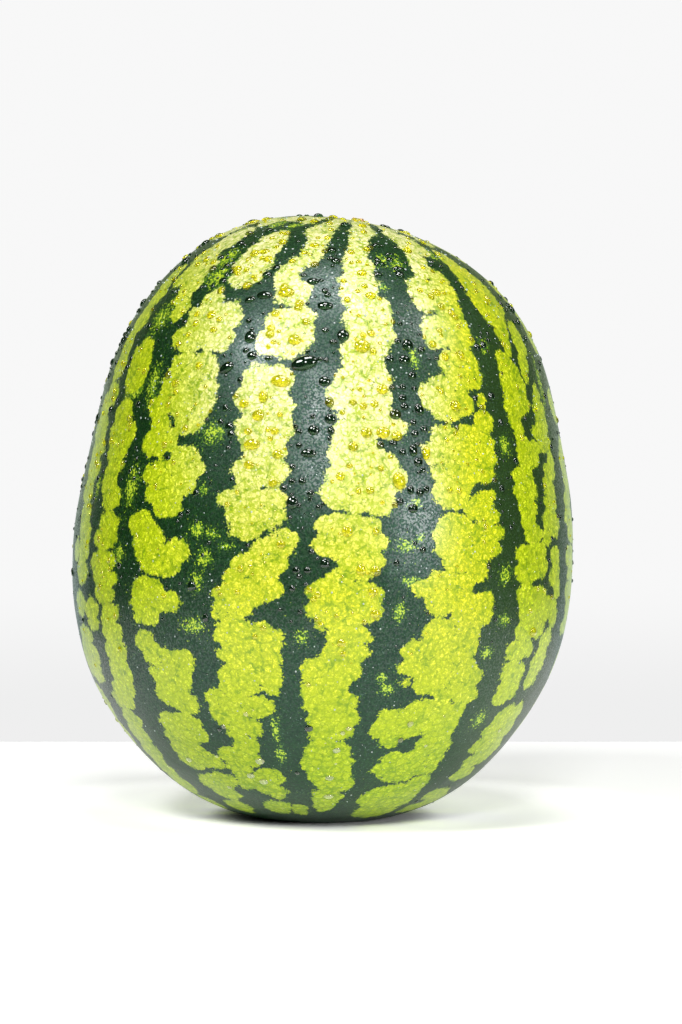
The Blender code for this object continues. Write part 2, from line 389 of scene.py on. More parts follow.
    # the second band to the right, which forks in two
    [(48, 79.5, 11, 2.6), (52, 75, 6, 2.2)],
    [(50.4, 68, 5.6, 3), (53.6, 64.4, 6, 2.8), (49.8, 64.6, 5, 2.8), (52, 60.4, 6.6, 3),
     (59.6, 61, 4.4, 2.6), (49.8, 57.4, 4.6, 2.6), (61, 57.4, 3.4, 3), (55, 56.6, 5, 3.2),
     (51.8, 53.8, 4.8, 2.6), (56.4, 53.2, 3.2, 2.4)],
    [(53.6, 50, 3.8, 1.9), (54, 47.6, 2.3, 2.4)],
    [(63.4, 51, 3, 2), (63.2, 47.6, 3.9, 2.8), (60.6, 43.8, 3, 2.4), (59.6, 41, 1.8, 1.2)],
    [(49.6, 43.4, 3.4, 2.6), (52.8, 42, 3.2, 2.4), (50, 39, 3.9, 2.8), (54.8, 38.4, 3.8, 2.6),
     (54.6, 35.2, 3.8, 2.4), (50, 34.2, 3.8, 2.8), (49, 31, 2.5, 2)],
    [(64.6, 37.2, 2.6, 2.4), (64, 34, 3.7, 2.6), (65, 31, 4.2, 2.4), (62, 28.8, 4.4, 2),
     (64, 26.6, 4, 2.4), (66, 22.6, 2.1, 2.8), (64.4, 19.6, 3.7, 2.4)],
    [(50.6, 28.8, 2.4, 2.4), (52, 25.6, 3.8, 2.4), (57, 25.2, 3.6, 2), (53.6, 22.4, 5, 2.4)],
    [(50.2, 18.6, 4.6, 2.6), (50, 14.8, 4.4, 2.6), (52.6, 15.2, 3, 2.6), (50.8, 10.8, 4, 2.4),
     (50.4, 7.6, 3, 2.2), (52.4, 4.6, 3.9, 2.4)],
    [(62.6, 16, 3.2, 2.4), (62, 12.4, 3.8, 2.4), (60.6, 8.4, 3.6, 2.6), (63.6, 7, 3, 2.8),
     (59.2, 4.2, 1.8, 2.2)],
    [(48.6, -0.2, 3.5, 2.2), (53.6, 0.6, 4.4, 2.6), (55, -3.2, 4, 2.4), (49.4, -3.8, 4.2, 2.8)],
    [(63.4, -1, 2.8, 2.6), (63, -4.8, 3.2, 2.6), (65, -8, 1.8, 2.2)],
    [(49.4, -9, 2.9, 3), (54.2, -9.6, 4.8, 2.2), (52.6, -13, 5.6, 2.8), (59.8, -12.6, 5.6, 2.8),
     (64.2, -14, 2.4, 2.8), (50, -17, 3.6, 2.4), (55.6, -16.8, 4.4, 2.4)],
    [(62.4, -19.8, 3, 2.4), (61.2, -24, 4, 2.8), (59.6, -28.2, 3.4, 2.4)],
    [(48.8, -21.4, 3.8, 2.4), (52.4, -21, 3, 2)],
    [(48.6, -26, 3.6, 2.4), (52.4, -26.4, 2.6, 2.2), (50.4, -30, 4.8, 2.8), (48.6, -32.2, 3, 1.8)],
    [(55.8, -36.6, 4.8, 2.4), (60.6, -36.6, 3.4, 2.6), (53.2, -40.2, 5, 2.6), (60.6, -41, 5.4, 2.8),
     (54, -44.4, 6, 2.8), (62, -46, 5, 3), (56.4, -48.4, 7, 2.4)],
    [(55.6, -52.6, 6, 2)],
    [(52, -59.4, 7, 2.4), (58, -62.6, 8, 3), (52, -65.6, 9, 3)],
    # the band on the right edge
    [(72, 76, 10, 2.8), (76, 71, 6, 2.4)],
    [(80, 61, 6, 3), (82, 55.6, 5.4, 3), (80.6, 49.6, 4.6, 3.2)],
    [(79.6, 36.4, 4.4, 2.4), (82, 33.6, 5, 2.4)],
    [(82, 25.6, 5, 2.8), (79.4, 22, 5, 2.4), (81, 17.6, 5.4, 3), (77.4, 13, 4.4, 2.4), (77, 9, 5.2, 2.6),
     (79.6, 5, 5, 2.6)],
    [(77, -0.6, 5.4, 2.6), (79, -4.6, 5.6, 2.4), (78, -8.8, 5.8, 2.6), (80, -13, 5.6, 2.8),
     (78, -17, 5.4, 2)],
    [(84, -26, 5, 4), (85, -34, 5.4, 4), (84, -42, 6, 4)],
]
MM_ALONG = 1.95  # millimetres of skin in one degree upward
OUTSIDE, INSIDE = -9.0, 6.0  # the depths in millimetres past which nothing changes
# Bands that go on round the back, by their sideways angle.
BACK_BANDS = [103, 127, 150, 174, 197, 221, 244, 265]
BACK_SEED = 7
# The ghosts, each as a lobe is.
GHOSTS = [
    (-31, 25.5, 3, 2.6), (-31.3, 14, 1.2, 1.4), (-31.5, 5.5, 2.2, 1.8), (-28, 4.5, 1.6, 1.4),
    (-24.5, 2, 1.8, 1.2), (-29.5, -0.5, 2, 2.4), (-31, -5.5, 1.8, 2.5), (-31.6, -14.5, 3, 1.8),
    (-13.5, -37.5, 1.2, 3.4), (-13, -44, 1.6, 2.6), (-7, -17, 1.6, 1.6), (17, 42.5, 2, 2.2),
    (14.5, 2.3, 2.7, 1.7), (16.5, 11.5, 1.8, 1.3), (18, 4, 1.2, 1.2), (42, 46.5, 2.6, 1.8),
    (44, 25.5, 2, 2.6), (41.4, -4.6, 2, 2.6), (16, -5.5, 2.2, 1.3), (14, -12, 1.4, 2.4),
    (38.5, -21.5, 2.1, 1.5), (42.5, -14.5, 2, 1.6), (13, -28.5, 2.1, 1.5), (43.5, -37, 2.6, 2.2),
    (11.5, -26, 1.6, 1.2), (-59, 46.5, 4, 3), (-57.5, 33, 3, 2), (-51.5, 34.5, 2.2, 4),
    (-51.5, 14, 2.2, 4.8), (-53, 0, 1.7, 2.2), (16, 64, 3.2, 2.8), (9.5, 64, 2.6, 2.2),
    (9.5, 57, 1.6, 1), (-49, 60, 3.4, 3), (-46, 55.5, 5, 2.4), (-50, 72, 4, 2),
    (-38, 72.4, 4, 1.4), (41, 69, 3, 2), (70, 40, 2, 6), (-66, 14, 1.4, 3),
]


def back_patches():
    """Lobes of the same size as the front ones, grown band by band from the crown down."""
    dice = np.random.default_rng(BACK_SEED)
    patches = []
    for band in BACK_BANDS:
        upward = 84.0
        lean = dice.uniform(-2.5, 2.5)
        while upward > -78:
            patch = []
            for _ in range(dice.integers(3, 9)):
                half_width = dice.uniform(4.6, 7.6)
                half_height = dice.uniform(2.4, 3.6)
                lean = 0.6 * lean + dice.uniform(-2.6, 2.6)
                patch.append((band + lean, upward, half_width, half_height))
                if dice.random() < 0.45:
                    side = dice.choice([-1, 1]) * dice.uniform(0.6, 0.9) * half_width
                    patch.append((band + lean + side, upward - dice.uniform(0, 3), 3.4, 2.4))
                upward -= half_height * dice.uniform(1.0, 1.3)
            upward -= dice.uniform(2.4, 4.2)
            patches.append(patch)
    return patches


def pattern_angles(points):
    """Each point's angle round the core line and upward angle, in degrees, and how far out it is."""
    lean = points[:, 2:3] / CROWN.z * np.array([[CROWN.x, CROWN.y]])
    across = points[:, :2] - lean
    radius = np.hypot(across[:, 0], across[:, 1])
    sideways = np.degrees(np.arctan2(across[:, 0], -across[:, 1]))
    upward = np.degrees(np.arctan2(points[:, 2] - HEART_HEIGHT, radius))
    return sideways, upward, radius


def turn_between(sideways, middle):
    """The angle from the middle, the short way round, in degrees."""
    return (sideways - middle + 180) % 360 - 180


def lobe_depth(sideways, upward, radius, lobe):
    """How far inside a lobe each point is, in millimetres, and less than 0 outside."""
    across = turn_between(sideways, lobe[0])
    along = upward - lobe[1]
    rho = np.hypot(across / lobe[2], along / lobe[3]) + 1e-6
    mm_across = np.maximum(np.radians(radius) / MM, 0.15)
    slope = np.hypot(across / (lobe[2] ** 2 * mm_across), along / (lobe[3] ** 2 * MM_ALONG)) / rho + 1e-6
    return (1 - rho) / np.maximum(slope, 1 / (max(lobe[3] * MM_ALONG, 1) * 3))


def patch_layers(points):
    """The depth in the pale patches at some points, on three layers so that the cracks stay sharp."""
    sideways, upward, radius = pattern_angles(points)
    layers = np.full((len(points), 3), OUTSIDE)
    for number, patch in enumerate(ALL_PATCHES):
        layer = number % 3
        for lobe in patch:
            near = np.abs(turn_between(sideways, lobe[0])) < lobe[2] + 30
            near &= np.abs(upward - lobe[1]) < lobe[3] + 8
            depth = lobe_depth(sideways[near], upward[near], radius[near], lobe)
            layers[near, layer] = np.maximum(layers[near, layer], depth)
    return np.clip(layers, OUTSIDE, INSIDE)


def ghost_strength(points):
    """1 in the middle of a ghost, falling off around it."""
    sideways, upward, _ = pattern_angles(points)
    ghost = np.zeros(len(points))
    for place in GHOSTS:
        across = turn_between(sideways, place[0]) / place[2]
        along = (upward - place[1]) / place[3]
        ghost = np.maximum(ghost, np.exp(-0.8 * (across**2 + along**2)))
    return ghost


def keep_numbers(mesh, name, kind, values):
    """Stores numbers on the points of a mesh."""
    title = "value" if kind == "FLOAT" else "vector"
    mesh.attributes.new(name, kind, "POINT").data.foreach_set(title, np.ravel(values))


ALL_PATCHES = PATCHES + back_patches()
skin_points = np.array([v.co[:] for v in rind.data.vertices])
keep_numbers(rind.data, "patches", "FLOAT_VECTOR", patch_layers(skin_points))
keep_numbers(rind.data, "ghosts", "FLOAT", ghost_strength(skin_points))

# ---- The rind: its skin -----------------------------------------------------------------------
# The skin is waxy and nearly smooth. Pale patches are packed yellow grains, with thin green veins
# between the grains and ragged, lobed edges. Painted highlight: they are painted creamier on the upper
# front. Painted shade: they are painted darker and greener low down. The stripes are deep bottle green
# with a fine grey bloom; a painted sheen makes them lighter towards the right, and pale painted glints
# fleck them.

PALE = (1.0, 0.85, 0.006, 1)
PALE_SIDE = (0.76, 0.98, 0.004, 1)
# Painted shade: the darker, greener colour the patches are painted towards the bottom.
PALE_LOW_SHADE = (0.34, 0.56, 0.002, 1)
# Painted highlight: the cream that the patches are painted where the lamps light the upper front.
PALE_HIGHLIGHT_CREAM = (1.0, 0.90, 0.74, 1)
PALE_LIGHT = (1.0, 0.95, 0.10, 1)
PALE_GAP = (0.33, 0.43, 0.001, 1)
VEIN = (0.12, 0.25, 0.002, 1)
SPOT = (0.035, 0.018, 0.006, 1)
BLOSSOM = (0.20, 0.13, 0.05, 1)
PIN = (0.05, 0.15, 0.008, 1)
FRINGE = (0.08, 0.18, 0.004, 1)
DARK = (0.0030, 0.0180, 0.0022, 1)
DARK_MOTTLE = (0.0075, 0.0400, 0.0055, 1)
# Painted glints: pale grey-blue flecks on the stripes.
STRIPE_GLINT_FLECK = (0.1100, 0.1900, 0.1400, 1)
# Painted sheen: the lighter stripe colour towards the right side, where a lamp's reflection falls.
STRIPE_RIGHT_SHEEN = (0.0210, 0.0470, 0.0070, 1)
GHOST_HALO = (0.085, 0.210, 0.006, 1)
GHOST = (0.50, 0.62, 0.030, 1)
SPOT_PLACE = (-24.1, -98.0, 86.5)  # one small brown speck on the front, in millimetres


def patch_depth(start):
    """How far inside a pale patch each point is, in millimetres: the most of the three layers."""
    layer = start.add("ShaderNodeAttribute", {"attribute_name": "patches"}, output="Vector").split()
    return layer.math("MAXIMUM", layer.part("Y")).math("MAXIMUM", layer.part("Z"))


def rind_skin(material):
    """One colour all over, under a yellowish gloss on the patches and a bluish one on the stripes."""
    material.use_nodes = True
    tree = material.node_tree
    tree.nodes.clear()
    start = Wire(tree)
    place = start.add("ShaderNodeTexCoord", output="Object").vector("SCALE", scale=1 / MM)
    depth = patch_depth(start)
    x = place.split()
    z = x.part("Z")
    # Painted shade: towards the bottom the patches are painted darker and greener, with fewer light grains
    # and wider, denser veins. The low mask also thins the coat there.
    low = 1 - z.rise(15.0, 108.0)
    under = 1 - z.rise(20.0, 60.0)
    aside = (x * -1.0).rise(15.0, 85.0) + x.rise(54.0, 86.0)
    # Painted highlight: a zone on the upper front, where the lamps light the fruit most, is painted cream
    # and given fewer dark gaps and veins.
    highlight_zone = x.rise(-66.0, -32.0) * (1 - x.rise(34.0, 58.0)) * z.rise(85.0, 175.0)

    # The patches are made of grains and end along them.
    bend = place.noise(1.5, 3, "Color").vector("SCALE", scale=3.2)
    bent = place.vector("ADD", bend)
    grain = bent.grains(1.45)
    clump = bent.grains(5.2)
    fray = place.noise(0.7, 3)
    edge = depth + 0.90 + (0.45 - clump) * 2.8 + (0.45 - grain) * 1.8 + (fray - 0.5) * 2.2
    pale = edge.rise(-0.15, 0.25)

    gap = grain.rise(0.28, 0.66)
    blotch = place.noise(7.0, 2).rise(0.40, 0.62)
    shade = place.noise(0.8, 3)
    grit = place.noise(0.55, 1)
    broken = place.noise(2.2, 2).rise(0.40, 0.58)
    colour = start.colour(PALE).mix(PALE_SIDE, aside).mix(PALE_LOW_SHADE, low)
    colour = colour.mix(PALE_LIGHT, shade.rise(0.52, 0.60) * (1 - gap) * (0.95 - low * 0.40))
    colour = colour.mix(PALE_HIGHLIGHT_CREAM, highlight_zone * 0.75)
    colour = colour.mix(PALE_GAP, gap * (0.35 + blotch * 0.40 - highlight_zone * 0.20))
    colour = colour.mix(PALE_GAP, (1 - shade.rise(0.38, 0.50)) * (0.75 - highlight_zone * 0.40))
    colour = colour.mix(PALE_GAP, (1 - grit.rise(0.36, 0.48)) * (0.50 - highlight_zone * 0.25))
    colour = colour.mix(PALE_LIGHT, grit.rise(0.54, 0.64) * (0.45 - highlight_zone * 0.25))
    colour = colour.mix(PALE_GAP, (1 - broken) * (0.30 - highlight_zone * 0.20))
    colour = colour.mix(PALE_GAP, bent.veins(2.7, 0.02, 0.19 + low * 0.12) * (0.45 + broken * 0.50))
    colour = colour.mix(VEIN, bent.veins(6.6, 0.01, 0.10 + low * 0.04) * (0.25 + blotch * 0.60) * broken)
    colour = colour.mix(VEIN, bent.veins(3.4, 0.02, 0.17) * (0.30 - highlight_zone * 0.25 + under * 0.35))
    pins = place.noise(0.8, 1).rise(0.58, 0.66) * place.noise(5.5, 1).rise(0.66, 0.72)
    colour = colour.mix(PIN, pins)
    colour = colour.mix(FRINGE, (1 - edge.rise(0.0, 0.8)) * 0.8)

    # The stripes: near black green, mottled, and speckled green where a patch has not quite formed.
    dark = start.colour(DARK).mix(DARK_MOTTLE, place.noise(1.1, 4).rise(0.38, 0.64))
    # Painted sheen: the stripes are painted lighter towards the right side.
    dark = dark.mix(STRIPE_RIGHT_SHEEN, x.rise(40.0, 68.0) * 0.7)
    # Painted glints: sparse pale flecks over the stripes.
    dark = dark.mix(STRIPE_GLINT_FLECK, place.noise(0.85, 1).rise(0.64, 0.72) * 0.35)
    ghosts = start.add("ShaderNodeAttribute", {"attribute_name": "ghosts"}, output="Fac")
    fine = place.noise(0.7, 2) - 0.5
    coarse = place.noise(1.5, 2) - 0.5
    halo = (ghosts * 0.9 + edge.rise(-2.2, 0.0) * 0.22 + fine * 2.0 + coarse * 1.2).rise(0.42, 0.80)
    dark = dark.mix(GHOST_HALO, halo)
    speck = (ghosts * 1.2 + fine * 3.6 + coarse * 2.2).rise(1.05, 1.35)
    dark = dark.mix(GHOST, speck * 0.9)
    colour = dark.mix(colour, pale)
    spot = place.vector("DISTANCE", SPOT_PLACE, output="Value")
    colour = colour.mix(SPOT, 1 - spot.rise(0.7, 1.5))
    # The scar of the blossom, in the middle of the flat spot.
    blossom = place.vector("LENGTH", output="Value")
    colour = colour.mix(BLOSSOM, 1 - (blossom + fray * 3.0).rise(4.0, 6.0))

    # The wax: a dull gloss under a brighter one, whole on the patches and grainy on the stripes.
    bloom = place.noise(0.42, 2)
    rough = 0.38 + (bloom - 0.5) * 0.24 + (place.noise(5.0, 1) - 0.5) * 0.10
    bumps = bloom * 0.11 + place.noise(1.9, 2) * 0.09 - grain * pale * 0.15
    bump = start.add("ShaderNodeBump", inputs={"Strength": 0.8, "Distance": MM, "Height": bumps})
    sparkle = place.noise(0.8, 2).rise(0.44, 0.60)
    wax = {"Base Color": colour, "Roughness": rough, "Normal": bump, "Coat Roughness": 0.30}
    on_stripe = {"IOR": 1.46, "Specular Tint": (0.64, 0.93, 1.0, 1), "Coat Weight": sparkle * (1 - low)}
    on_patch = {"IOR": 1.50, "Specular Tint": (1.0, 0.96, 0.30, 1), "Coat Weight": 0.85 - low * 0.70}
    stripe = start.add("ShaderNodeBsdfPrincipled", inputs=wax | on_stripe)
    patch = start.add("ShaderNodeBsdfPrincipled", inputs=wax | on_patch)
    skin = start.add("ShaderNodeMixShader", inputs={0: pale, 1: stripe, 2: patch})
    end = tree.nodes.new("ShaderNodeOutputMaterial")
    tree.links.new(skin.socket, end.inputs["Surface"])


rind_skin(rind_material)
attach(rind, "root")
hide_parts("watermelon")

# ---- The beads of water -----------------------------------------------------------------------
# The fruit was rinsed: still water stands on the wax in beads, from specks half a millimetre wide
# to drops of ten. They are low domes, thick on the crown and shoulders and few lower down.

water = bpy.data.materials.new("water")
water.use_nodes = True
water_shader = water.node_tree.nodes["Principled BSDF"]
water_shader.inputs["Roughness"].default_value = 0.0
water_shader.inputs["IOR"].default_value = 1.333
water_shader.inputs["Transmission Weight"].default_value = 0.82
water_shader.inputs["Coat Roughness"].default_value = 0.0
water_shader.inputs["Coat IOR"].default_value = 1.6
# A bead's body is painted darker than a stripe as painted shade, since the wet wax under it has no bloom,
# and painted yellower than a patch. Its lower edge is painted light green, a painted highlight for the
# light it gathers from above.
WATER_SHADE_ON_STRIPE = (0.020, 0.060, 0.026, 1)
WATER_ON_PATCH = (1.0, 0.92, 0.04, 1)
WATER_LOW = (1.0, 1.0, 0.70, 1)
WATER_LIT_EDGE = (0.12, 0.30, 0.10, 1)
start = Wire(water.node_tree)
bead = start.add("ShaderNodeAttribute", {"attribute_name": "bead"}, output="Vector")
below = bead.split().part("Y") * -1.0
high = start.add("ShaderNodeTexCoord", output="Object").split().part("Z")
patch_tint = start.colour(WATER_LOW).mix(WATER_ON_PATCH, high.rise(0.03, 0.07))
tint = start.colour(WATER_SHADE_ON_STRIPE).mix(WATER_LIT_EDGE, below.rise(0.40, 0.75))
tint = tint.mix(patch_tint, patch_depth(start).rise(-1.0, 0.6))
coat = 1 - below.rise(0.30, 0.70) * 0.9
water.node_tree.links.new(tint.socket, water_shader.inputs["Base Color"])
water.node_tree.links.new(coat.socket, water_shader.inputs["Coat Weight"])

# The finest beads are painted white, a painted glint for the light they catch.
SPECK_GLINT_WHITE = (0.80, 0.92, 0.88, 1)
speck_glint = bpy.data.materials.new("speck_glint")
speck_glint.use_nodes = True
speck_glint_shader = speck_glint.node_tree.nodes["Principled BSDF"]
speck_glint_shader.inputs["Base Color"].default_value = SPECK_GLINT_WHITE
speck_glint_shader.inputs["Roughness"].default_value = 0.1
speck_glint_shader.inputs["Transmission Weight"].default_value = 0.5

SINK = 0.14  # how far a dome reaches into the rind, in parts of its half width

# The drops that stand out: sideways and upward angle, width and height in millimetres, tilt.
BIG_DROPS = [
    (-11.6, 39.8, 10.6, 6.0, 16), (-16.8, 36.1, 8.0, 4.8, -8), (-30.9, 37.9, 6.6, 4.0, 32),
    (-26.8, 43.9, 4.6, 5.4, 0), (-26.9, 41.3, 2.8, 2.2, 30), (-25.0, 40.4, 4.2, 3.6, 0),
    (-20.6, 40.2, 3.6, 2.0, 15), (-26.8, 52.4, 6.4, 3.8, 0), (-30.6, 51.2, 4.8, 3.0, 20),
    (-13.6, 56.5, 5.0, 3.4, 0), (-8.4, 51.5, 6.2, 3.8, 0), (-7.4, 46.5, 3.0, 2.4, 0),
    (-2.5, 45.8, 4.8, 5.2, 10), (-6.2, 36.6, 4.6, 4.2, 0), (-4.1, 29.3, 4.4, 4.0, 0),
    (-4.6, 32.6, 3.6, 4.2, 0), (-7.7, 26.8, 4.6, 4.0, -15), (-8.4, 22.0, 6.0, 3.4, 0),
    (-7.1, 13.4, 3.2, 2.8, 0), (-10.9, 11.4, 4.4, 5.2, 0), (-15.0, 44.1, 5.4, 4.6, 0),
    (-20.6, 53.4, 6.6, 4.8, 0), (-20.4, 32.9, 3.8, 5.0, 0), (-24.8, 31.4, 4.0, 3.6, 0),
    (-21.0, 29.3, 5.0, 4.4, 0), (-16.6, 26.3, 3.4, 3.2, 0), (-22.8, 26.0, 3.4, 2.8, 0),
    (-21.4, 23.4, 6.8, 4.4, 6), (-15.2, 21.6, 4.4, 3.8, 0), (-21.4, 19.2, 4.2, 3.6, 0),
    (-11.0, 26.4, 2.6, 2.4, 0), (-10.7, 23.6, 2.6, 2.4, 0), (-11.4, 15.9, 2.6, 2.4, 0),
    (-9.2, 16.0, 2.8, 3.0, 0), (-11.6, 19.0, 2.6, 2.6, 0), (-15.6, 15.5, 3.4, 3.6, 0),
    (-12.6, 2.5, 3.4, 3.2, 0), (-27.4, 26.8, 3.6, 3.4, 0), (-29.2, 30.4, 2.4, 3.0, 0),
    (-33.0, 13.0, 2.6, 2.6, 0), (15.5, 45.2, 4.6, 4.8, 0), (14.3, 42.1, 4.8, 4.0, 0),
    (10.2, 42.0, 3.2, 3.4, 0), (16.3, 39.1, 3.4, 3.4, 0), (13.6, 36.6, 2.6, 2.6, 0),
    (16.6, 36.5, 2.4, 2.4, 0), (13.5, 34.4, 3.4, 3.2, 0), (14.0, 32.7, 3.2, 3.2, 20),
    (11.6, 31.0, 4.8, 4.2, 0), (17.9, 32.3, 3.8, 5.0, 20), (16.6, 27.1, 3.2, 3.2, 0),
    (19.0, 28.2, 3.0, 3.0, 0), (16.1, 23.4, 3.4, 4.8, 0), (13.4, 23.0, 2.8, 2.8, 0),
    (17.3, 20.9, 3.6, 3.6, 0), (8.0, 24.3, 3.0, 3.4, 0), (11.1, 24.8, 3.2, 2.6, 0),
    (10.5, 21.8, 2.4, 1.8, 0), (18.4, 19.1, 2.4, 2.4, 0), (15.4, 14.6, 2.8, 3.8, 0),
    (17.7, 14.1, 3.2, 3.2, 0), (19.3, 14.8, 2.6, 3.0, 0), (12.9, 12.0, 3.0, 3.2, 0),
    (16.0, 10.5, 4.0, 3.6, 0), (12.6, 16.6, 5.2, 7.0, 10), (19.4, 22.9, 3.6, 5.4, -12),
    (2.7, 44.0, 6.4, 5.6, 0), (8.2, 35.9, 4.6, 4.2, 0), (8.6, 27.0, 5.6, 4.6, 0),
    (12.0, 26.4, 4.6, 4.2, 0), (4.6, 26.8, 4.6, 4.2, 0), (1.6, 23.8, 4.0, 4.0, 0),
    (6.3, 32.9, 3.2, 3.2, 0), (3.6, 32.3, 3.2, 3.2, 0), (5.9, 14.3, 3.4, 3.0, 0),
    (-0.9, 17.3, 3.6, 3.6, 0), (1.4, 5.4, 4.4, 4.4, 0), (4.8, -2.9, 3.6, 4.6, 0),
    (8.0, -3.2, 4.2, 4.2, 0), (7.7, -7.7, 4.0, 3.8, 0), (8.6, -12.4, 4.0, 3.8, 0),
    (1.6, -18.4, 3.4, 3.6, 0), (-3.0, -1.6, 3.8, 4.2, 0), (-6.6, -3.0, 2.8, 2.8, 0),
    (-9.0, -3.0, 2.8, 2.8, 0), (-9.6, -6.8, 2.4, 2.8, 0), (18.6, 1.4, 2.6, 2.6, 0),
    (37.0, 33.6, 2.6, 2.6, 0), (28.4, 33.6, 5.0, 4.4, 0), (41.2, 36.2, 3.8, 3.6, 0),
    (9.0, 63.0, 5.0, 2.8, 0), (16.6, 62.4, 5.4, 3.0, 0), (14.4, 66.4, 4.0, 2.4, 0),
    (5.0, 54.8, 4.4, 3.4, 0), (2.0, 60.0, 4.2, 3.2, 0), (-18.2, 66.0, 4.2, 2.8, 0),
    (-36.0, 62.6, 4.4, 3.4, 0), (-40.4, 47.6, 4.2, 3.8, 0), (-44.2, 34.6, 3.8, 3.6, 0),
    (-43.6, 22.8, 3.0, 3.0, 0), (29.4, 57.6, 4.4, 3.6, 0), (24.0, 43.0, 2.4, 2.0, 0),
    (-32.0, -6.4, 4.0, 4.2, 0), (-28.6, -13.0, 2.6, 4.0, 0), (-20.4, -52.4, 3.6, 3.0, 0),
    (-24.2, -50.6, 3.6, 2.6, 0), (-19.6, -46.2, 3.8, 3.4, 0), (1.4, -51.0, 3.4, 2.6, 0),
    (1.8, -57.2, 4.0, 2.8, 0), (2.6, -43.2, 3.0, 2.8, 0), (-5.0, -37.4, 3.4, 3.0, 0),
    (54.4, -17.6, 4.6, 4.0, 0),
]

# The drops are thickest above Top, and thin out to Least of that at Bottom. Sizes are half widths.
DROP_NUMBERS = {
    "Spacing": 0.0020,
    "Most per square metre": 36000.0,
    "Smallest": 0.0005,
    "Largest": 0.0017,
    "Bottom": 0.06,
    "Top": 0.15,
    "Least": 0.1,
    "Clear of drops": 0.0004,
    "Wobble": 0.0002,
    "Seed": 1,
}
SPECK_NUMBERS = {
    "Spacing": 0.0012,
    "Most per square metre": 45000.0,
    "Smallest": 0.00018,
    "Largest": 0.00048,
    "Bottom": 0.02,
    "Top": 0.15,
    "Least": 0.25,
    "Clear of drops": 0.0002,
    "Wobble": 0.00004,
    "Seed": 2,
}


def dome(start, segments, rings):
    """A low dome of water, one unit in half width, closed by a nearly flat underside."""
    ball = start.add("GeometryNodeMeshUVSphere", inputs={"Segments": segments, "Rings": rings})
    x = start.add("GeometryNodeInputPosition").split()
    shaped = x.join(x, x.part("Y"), x.part("Z").math("MAXIMUM", -SINK))
    domed = ball.add("GeometryNodeSetPosition", inputs={"Geometry": ball, "Position": shaped})
    kind = {"data_type": "FLOAT_VECTOR"}
    return domed.add(
        "GeometryNodeStoreNamedAttribute", kind, {"Geometry": domed, "Name": "bead", "Value": shaped}
    )


def wobbled(copies, amount, size):
    """Makes the copies real and pushes their skins about, so that no two domes are alike."""
    real = copies.add("GeometryNodeRealizeInstances", {}, {0: copies})
    place = real.add("GeometryNodeInputPosition")
    push = place.noise(size, 1, "Color").vector("SUBTRACT", (0.5, 0.5, 0.5)).vector("SCALE", scale=amount)
    return real.add("GeometryNodeSetPosition", inputs={"Geometry": real, "Offset": push})


def standing_tree(name, shape, wobble, material):
    """One copy of a shape on every point of a mesh that carries each copy's turn and size."""
    tree, inputs = new_group(name, {"Wobble": 0.0005})
    points = inputs.add("GeometryNodeMeshToPoints", inputs={"Mesh": inputs})
    named = {"data_type": "FLOAT_VECTOR"}
    turn = inputs.add("GeometryNodeInputNamedAttribute", named, {"Name": "turn"})
    size = inputs.add("GeometryNodeInputNamedAttribute", named, {"Name": "size"})
    copies = inputs.add(
        "GeometryNodeInstanceOnPoints",
        inputs={"Points": points, "Instance": shape(inputs), "Rotation": turn, "Scale": size},
    )
    finish_group(wobbled(copies, inputs.part("Wobble"), wobble), material)
    return tree


def drop_tree(name, segments, rings, around, material):
    """Drops scattered over a mesh, thicker higher up, and none where a drop of another piece stands."""
    tree, inputs = new_group(name, DROP_NUMBERS)
    number = inputs.part
    place = inputs.add("GeometryNodeInputPosition")
    x = place.split()
    high = x.part("Z")
    thick = inputs.add(
        "ShaderNodeMapRange",
        {"interpolation_type": "SMOOTHSTEP"},
        {0: high, 1: number("Bottom"), 2: number("Top"), 3: number("Least"), 4: 1.0},
    )
    patchy = (0.35 + place.noise(0.03, 1).rise(0.35, 0.6) * 0.65) * (1 - x.rise(0.06, 0.09) * 0.6)
    scattered = inputs.add(
        "GeometryNodeDistributePointsOnFaces",
        {"distribute_method": "POISSON"},
        {
            "Mesh": inputs,
            "Distance Min": number("Spacing"),
            "Density Max": number("Most per square metre"),
            "Density Factor": thick * patchy * high.rise(0.006, 0.014),
            "Seed": number("Seed"),
        },
    )
    kept = scattered
    for other in around:
        solid = inputs.add("GeometryNodeObjectInfo", inputs={"Object": other}, output="Geometry")
        near = inputs.add("GeometryNodeProximity", {"target_element": "FACES"}, {0: solid}, "Distance")
        crowded = near.math("LESS_THAN", number("Clear of drops"))
        both = {"Geometry": kept, "Selection": crowded}
        kept = kept.add("GeometryNodeDeleteGeometry", {"domain": "POINT"}, both)
    ends = {2: 0.0, 3: 1.0, "Seed": number("Seed")}
    chance = inputs.add("FunctionNodeRandomValue", inputs=ends, output=1)
    width = number("Smallest") + (number("Largest") - number("Smallest")) * chance**1.8
    width = width * (0.85 + high.rise(0.13, 0.23) * 0.5)
    squeeze = inputs.add("FunctionNodeRandomValue", inputs={2: 0.75, 3: 1.2, "Seed": 5}, output=1)
    size = inputs.join(width, width * squeeze, width * 0.55)
    copies = inputs.add(
        "GeometryNodeInstanceOnPoints",
        inputs={
            "Points": kept,
            "Instance": dome(inputs, segments, rings),
            "Rotation": scattered.part("Rotation"),
            "Scale": size,
        },
    )
    finish_group(wobbled(copies, number("Wobble"), 0.0025), material)
    return tree


skin_search = BVHTree.FromPolygons(
    [v.co for v in rind.data.vertices], [p.vertices for p in rind.data.polygons]
)


